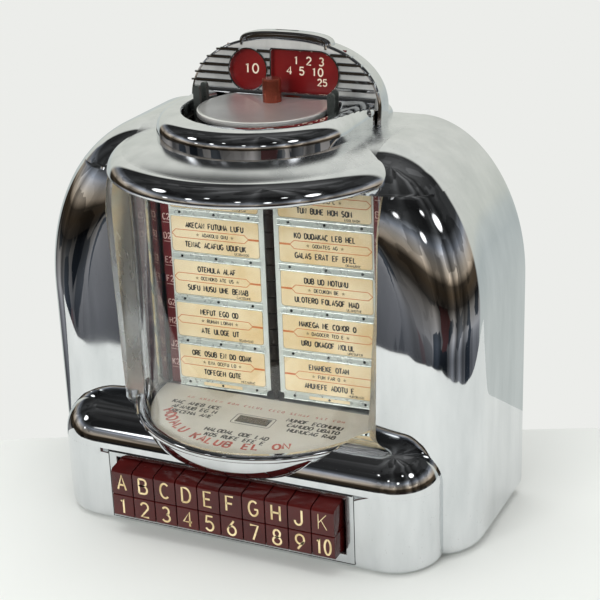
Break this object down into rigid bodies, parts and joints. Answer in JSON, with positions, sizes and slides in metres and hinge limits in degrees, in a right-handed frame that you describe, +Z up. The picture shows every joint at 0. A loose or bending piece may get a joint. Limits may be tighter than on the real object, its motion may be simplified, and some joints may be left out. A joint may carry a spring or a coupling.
{
  "type": "jukebox wall box selector",
  "caption": "Counter-top or wall-mounted song selector: rounded chrome case, curved window over turning title pages, two rows of push keys, finned crown with coin slot.",
  "frame": {"origin": "middle of the footprint, on the surface that the case stands on", "axes": "+X to the viewer's right, front faces -Y, +Z up"},
  "size_m": [0.3402, 0.184, 0.3536],
  "materials": {
    "chrome": "polished chrome plate",
    "bezel_metal": "satin chrome plate",
    "key_red": "dark maroon moulded plastic with cream filled legends",
    "clear": "clear curved pane",
    "page_metal": "satin metal page with paper strips",
    "dark_lever": "dark grey moulded tab",
    "rod_steel": "dark oiled steel",
    "steel": "zinc plated sheet",
    "paper": "printed card",
    "label_red": "maroon printed strip",
    "lens_dark": "dark lens",
    "disc_metal": "polished disc",
    "copper_red": "coppery red translucent post",
    "red_clear": "red translucent plate with pale print",
    "phenolic": "brown laminate with contacts",
    "black_plastic": "black moulded bush",
    "motor_grey": "grey enamel",
    "brass": "plain brass",
    "bulb": "small glass bulb on brass cap",
    "spring_steel": "spring wire"
  },
  "bodies": {
    "case": {"front_cover": "chrome", "key_bezel": "bezel_metal", "key_guide": "steel", "key_springs": "spring_steel", "key_switches": "phenolic", "window_glass": "clear", "page_shelf": "steel", "floor_card": "paper", "pilot_lens": "lens_dark", "hinge_rod": "rod_steel", "fixed_pages": "page_metal", "selection_labels": "label_red", "leaf_frame": "steel", "top_disc": "disc_metal", "return_spring": "spring_steel", "crown": "chrome", "crown_insert": "red_clear", "back_plate": "steel", "chassis_pan": "steel", "selector_motor": "motor_grey", "contact_disc": "phenolic", "coin_mechanism": "steel", "coin_chute": "steel", "terminal_strip": "phenolic", "cable_gland": "black_plastic", "lamps": "bulb", "lock_barrel": "chrome", "screws": "steel"},
    "latch": {"latch_bar": "steel"},
    "return_post": {"return_post": "copper_red"},
    "wiper": {"wiper_arm": "brass"},
    "lock": {"lock_plug": "brass"},
    "leaf_1": {"leaf_1": "page_metal", "leaf_1_lever": "dark_lever"},
    "leaf_2": {"leaf_2": "page_metal", "leaf_2_lever": "dark_lever"},
    "leaf_3": {"leaf_3": "page_metal", "leaf_3_lever": "dark_lever"},
    "leaf_4": {"leaf_4": "page_metal", "leaf_4_lever": "dark_lever"},
    "key_a": {"key_a": "key_red"},
    "key_b": {"key_b": "key_red"},
    "key_c": {"key_c": "key_red"},
    "key_d": {"key_d": "key_red"},
    "key_e": {"key_e": "key_red"},
    "key_f": {"key_f": "key_red"},
    "key_g": {"key_g": "key_red"},
    "key_h": {"key_h": "key_red"},
    "key_j": {"key_j": "key_red"},
    "key_k": {"key_k": "key_red"},
    "key_1": {"key_1": "key_red"},
    "key_2": {"key_2": "key_red"},
    "key_3": {"key_3": "key_red"},
    "key_4": {"key_4": "key_red"},
    "key_5": {"key_5": "key_red"},
    "key_6": {"key_6": "key_red"},
    "key_7": {"key_7": "key_red"},
    "key_8": {"key_8": "key_red"},
    "key_9": {"key_9": "key_red"},
    "key_10": {"key_10": "key_red"}
  },
  "joints": [
    {"name": "press_a", "type": "slide", "parent": "case", "child": "key_a", "axis": [0, 1, 0], "range_m": [0, 0.0055], "stiffness_N_per_m": 120, "springref_m": -0.004},
    {"name": "press_b", "type": "slide", "parent": "case", "child": "key_b", "axis": [0, 1, 0], "range_m": [0, 0.0055], "stiffness_N_per_m": 120, "springref_m": -0.004},
    {"name": "press_c", "type": "slide", "parent": "case", "child": "key_c", "axis": [0, 1, 0], "range_m": [0, 0.0055], "stiffness_N_per_m": 120, "springref_m": -0.004},
    {"name": "press_d", "type": "slide", "parent": "case", "child": "key_d", "axis": [0, 1, 0], "range_m": [0, 0.0055], "stiffness_N_per_m": 120, "springref_m": -0.004},
    {"name": "press_e", "type": "slide", "parent": "case", "child": "key_e", "axis": [0, 1, 0], "range_m": [0, 0.0055], "stiffness_N_per_m": 120, "springref_m": -0.004},
    {"name": "press_f", "type": "slide", "parent": "case", "child": "key_f", "axis": [0, 1, 0], "range_m": [0, 0.0055], "stiffness_N_per_m": 120, "springref_m": -0.004},
    {"name": "press_g", "type": "slide", "parent": "case", "child": "key_g", "axis": [0, 1, 0], "range_m": [0, 0.0055], "stiffness_N_per_m": 120, "springref_m": -0.004},
    {"name": "press_h", "type": "slide", "parent": "case", "child": "key_h", "axis": [0, 1, 0], "range_m": [0, 0.0055], "stiffness_N_per_m": 120, "springref_m": -0.004},
    {"name": "press_j", "type": "slide", "parent": "case", "child": "key_j", "axis": [0, 1, 0], "range_m": [0, 0.0055], "stiffness_N_per_m": 120, "springref_m": -0.004},
    {"name": "press_k", "type": "slide", "parent": "case", "child": "key_k", "axis": [0, 1, 0], "range_m": [0, 0.0055], "stiffness_N_per_m": 120, "springref_m": -0.004},
    {"name": "press_1", "type": "slide", "parent": "case", "child": "key_1", "axis": [0, 1, 0], "range_m": [0, 0.0055], "stiffness_N_per_m": 120, "springref_m": -0.004},
    {"name": "press_2", "type": "slide", "parent": "case", "child": "key_2", "axis": [0, 1, 0], "range_m": [0, 0.0055], "stiffness_N_per_m": 120, "springref_m": -0.004},
    {"name": "press_3", "type": "slide", "parent": "case", "child": "key_3", "axis": [0, 1, 0], "range_m": [0, 0.0055], "stiffness_N_per_m": 120, "springref_m": -0.004},
    {"name": "press_4", "type": "slide", "parent": "case", "child": "key_4", "axis": [0, 1, 0], "range_m": [0, 0.0055], "stiffness_N_per_m": 120, "springref_m": -0.004},
    {"name": "press_5", "type": "slide", "parent": "case", "child": "key_5", "axis": [0, 1, 0], "range_m": [0, 0.0055], "stiffness_N_per_m": 120, "springref_m": -0.004},
    {"name": "press_6", "type": "slide", "parent": "case", "child": "key_6", "axis": [0, 1, 0], "range_m": [0, 0.0055], "stiffness_N_per_m": 120, "springref_m": -0.004},
    {"name": "press_7", "type": "slide", "parent": "case", "child": "key_7", "axis": [0, 1, 0], "range_m": [0, 0.0055], "stiffness_N_per_m": 120, "springref_m": -0.004},
    {"name": "press_8", "type": "slide", "parent": "case", "child": "key_8", "axis": [0, 1, 0], "range_m": [0, 0.0055], "stiffness_N_per_m": 120, "springref_m": -0.004},
    {"name": "press_9", "type": "slide", "parent": "case", "child": "key_9", "axis": [0, 1, 0], "range_m": [0, 0.0055], "stiffness_N_per_m": 120, "springref_m": -0.004},
    {"name": "press_10", "type": "slide", "parent": "case", "child": "key_10", "axis": [0, 1, 0], "range_m": [0, 0.0055], "stiffness_N_per_m": 120, "springref_m": -0.004},
    {"name": "turn_leaf_1", "type": "hinge", "parent": "case", "child": "leaf_1", "pos_m": [0, 0.0235, 0.17], "axis": [0, 0, 1], "range_deg": [0, 168]},
    {"name": "turn_leaf_2", "type": "hinge", "parent": "case", "child": "leaf_2", "pos_m": [0, 0.0235, 0.17], "axis": [0, 0, 1], "range_deg": [0, 3]},
    {"name": "turn_leaf_3", "type": "hinge", "parent": "case", "child": "leaf_3", "pos_m": [0, 0.0235, 0.17], "axis": [0, 0, -1], "range_deg": [0, 168]},
    {"name": "turn_leaf_4", "type": "hinge", "parent": "case", "child": "leaf_4", "pos_m": [0, 0.0235, 0.17], "axis": [0, 0, -1], "range_deg": [0, 3]},
    {"name": "press_return", "type": "slide", "parent": "case", "child": "return_post", "axis": [0, 0, -1], "range_m": [0, 0.004], "stiffness_N_per_m": 150, "springref_m": -0.006},
    {"name": "slide_latch", "type": "slide", "parent": "case", "child": "latch", "axis": [1, 0, 0], "range_m": [0, 0.003], "stiffness_N_per_m": 80, "springref_m": -0.002},
    {"name": "sweep_wiper", "type": "hinge", "parent": "case", "child": "wiper", "pos_m": [-0.062, 0.056, 0.044], "axis": [0, 1, 0], "continuous": true},
    {"name": "turn_lock", "type": "hinge", "parent": "case", "child": "lock", "pos_m": [-0.155, 0.066, 0.15], "axis": [1, 0, 0], "range_deg": [0, 90]}
  ]
}
